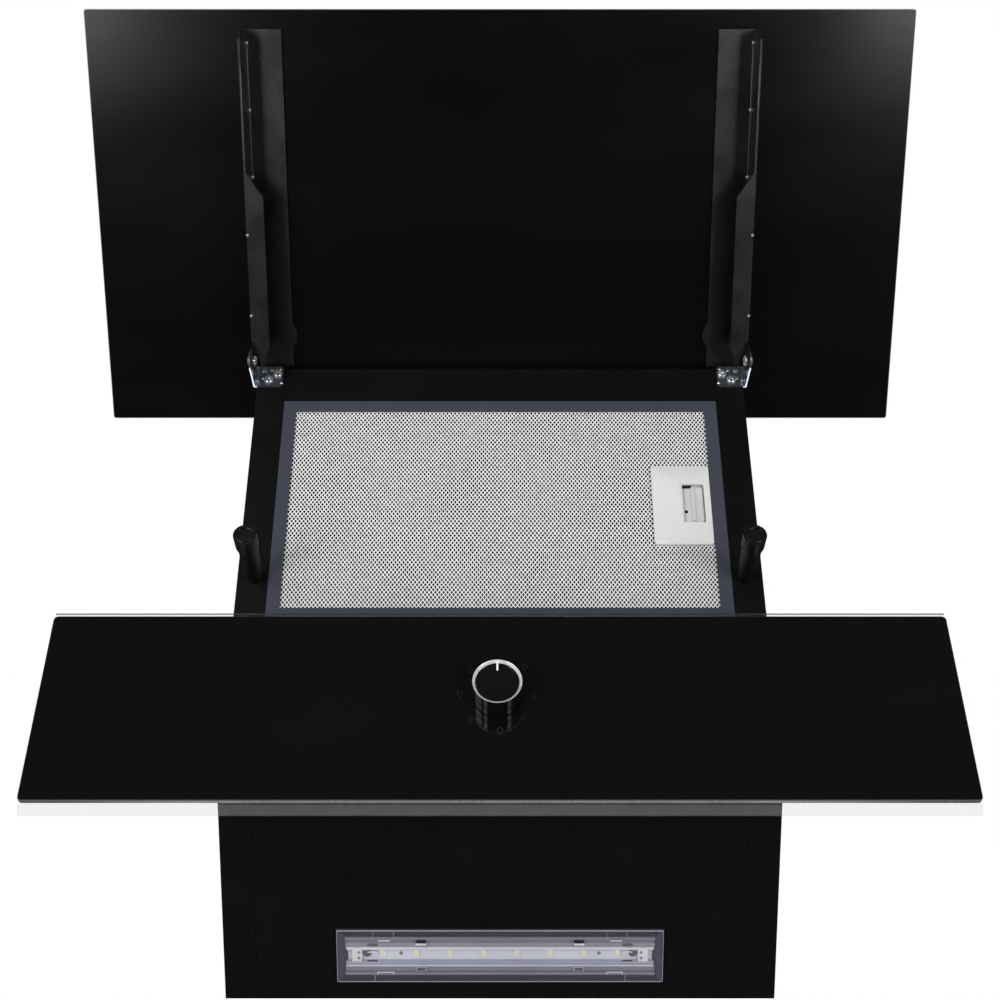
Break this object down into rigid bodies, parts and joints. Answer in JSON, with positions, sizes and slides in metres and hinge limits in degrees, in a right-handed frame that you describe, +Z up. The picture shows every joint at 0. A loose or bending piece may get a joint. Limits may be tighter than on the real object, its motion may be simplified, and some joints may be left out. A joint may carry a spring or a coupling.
{
  "type": "angled wall cooker hood",
  "caption": "Slanted wall cooker hood with a hinged black glass flap, lower glass with rotary knob, mesh grease filter, LED lamp, blower and duct spigot.",
  "frame": {"origin": "on the wall face, on the centre line of the hood, level with the seats of the two hanging keyholes", "axes": "+Y into the wall, so the front is at -Y; +Z up; +X to the right for someone facing the hood"},
  "size_m": [0.6, 0.6537, 0.33],
  "materials": {
    "black_powder_coat": "fine matt powder coat",
    "zinc_steel": "bright zinc plate",
    "black_glass": "glossy back-painted glass with light polished edges",
    "filter_frame_aluminium": "satin dark grey",
    "filter_mesh_aluminium": "bright drawn mesh",
    "grey_plastic": "fine matt",
    "clear_acrylic": "clear, slightly frosted",
    "knob_black": "glossy",
    "knob_chrome": "polished",
    "pointer_white": "printed white",
    "switch_plastic": "moulded",
    "bond_foam": "matt",
    "washer_nylon": "matt",
    "black_steel": "satin black lacquer",
    "magnet": "nickel plate",
    "lamp_grey": "satin moulded",
    "lamp_clear": "clear polycarbonate",
    "board_white": "solder mask",
    "led_phosphor": "yellow phosphor",
    "connector_white": "moulded",
    "fan_plastic": "moulded, glass filled",
    "motor_steel": "zinc plated",
    "steel_plain": "ground",
    "capacitor_white": "moulded",
    "damper_plastic": "moulded",
    "bush_rubber": "matt"
  },
  "bodies": {
    "hood": {"back_panel": "black_powder_coat", "side_panel_right": "black_powder_coat", "side_panel_left": "black_powder_coat", "underside_panel": "black_powder_coat", "top_panel": "black_powder_coat", "face_top_strip": "black_powder_coat", "face_bottom_strip": "black_powder_coat", "filter_frame": "filter_frame_aluminium", "filter_mesh": "filter_mesh_aluminium", "filter_tabs": "filter_frame_aluminium", "latch_plate": "grey_plastic", "latch_springs": "steel_plain", "lower_glass": "black_glass", "glass_carrier": "black_powder_coat", "edge_strip": "clear_acrylic", "rotary_switch": "switch_plastic", "hinge_bracket_right": "zinc_steel", "hinge_bracket_left": "zinc_steel", "pivot_rivets": "zinc_steel", "friction_washers": "washer_nylon", "hinge_screws": "zinc_steel", "catch_posts": "black_steel", "post_screws": "steel_plain", "catch_magnets": "magnet", "lamp_housing": "lamp_grey", "lamp_cover": "lamp_clear", "led_board": "board_white", "led_chips": "led_phosphor", "lamp_connectors": "connector_white", "lamp_driver": "connector_white", "lamp_driver_bracket": "steel_plain", "blower_housing_left": "fan_plastic", "blower_housing_right": "fan_plastic", "motor_body": "motor_steel", "motor_bracket": "steel_plain", "outlet_collar": "damper_plastic", "damper_pin": "steel_plain", "collar_screws": "zinc_steel", "capacitor": "capacitor_white", "capacitor_clip": "steel_plain", "terminal_box": "fan_plastic", "terminal_block": "connector_white", "cable_bush": "bush_rubber"},
    "flap": {"flap_glass": "black_glass", "flap_arm_right": "black_powder_coat", "flap_arm_left": "black_powder_coat", "arm_bonds": "bond_foam"},
    "knob": {"knob_body": "knob_black", "knob_ring": "knob_chrome", "knob_pointer": "pointer_white", "switch_shaft": "steel_plain"},
    "latch": {"latch_slider": "grey_plastic"},
    "fan_wheel": {"impeller": "fan_plastic", "motor_shaft": "steel_plain"},
    "damper_front": {"damper_flap_front": "damper_plastic"},
    "damper_rear": {"damper_flap_rear": "damper_plastic"}
  },
  "joints": [
    {"name": "flap_hinge", "type": "hinge", "parent": "hood", "child": "flap", "pos_m": [0, -0.40071, 0.02477], "axis": [1, 0, 0], "range_deg": [0, 129.5]},
    {"name": "knob_spin", "type": "hinge", "parent": "hood", "child": "knob", "pos_m": [-0.0017, -0.20969, -0.17885], "axis": [0, -0.776, -0.6307], "continuous": true},
    {"name": "latch_slide", "type": "slide", "parent": "hood", "child": "latch", "axis": [-1, 0, 0], "range_m": [0, 0.006], "stiffness_N_per_m": 400, "springref_m": -0.004},
    {"name": "fan_spin", "type": "hinge", "parent": "hood", "child": "fan_wheel", "pos_m": [0, -0.112, -0.072], "axis": [1, 0, 0], "continuous": true},
    {"name": "damper_front_hinge", "type": "hinge", "parent": "hood", "child": "damper_front", "pos_m": [0, -0.072, 0.0732], "axis": [-1, 0, 0], "range_deg": [0, 70]},
    {"name": "damper_rear_hinge", "type": "hinge", "parent": "hood", "child": "damper_rear", "pos_m": [0, -0.072, 0.0732], "axis": [1, 0, 0], "range_deg": [0, 70]}
  ]
}
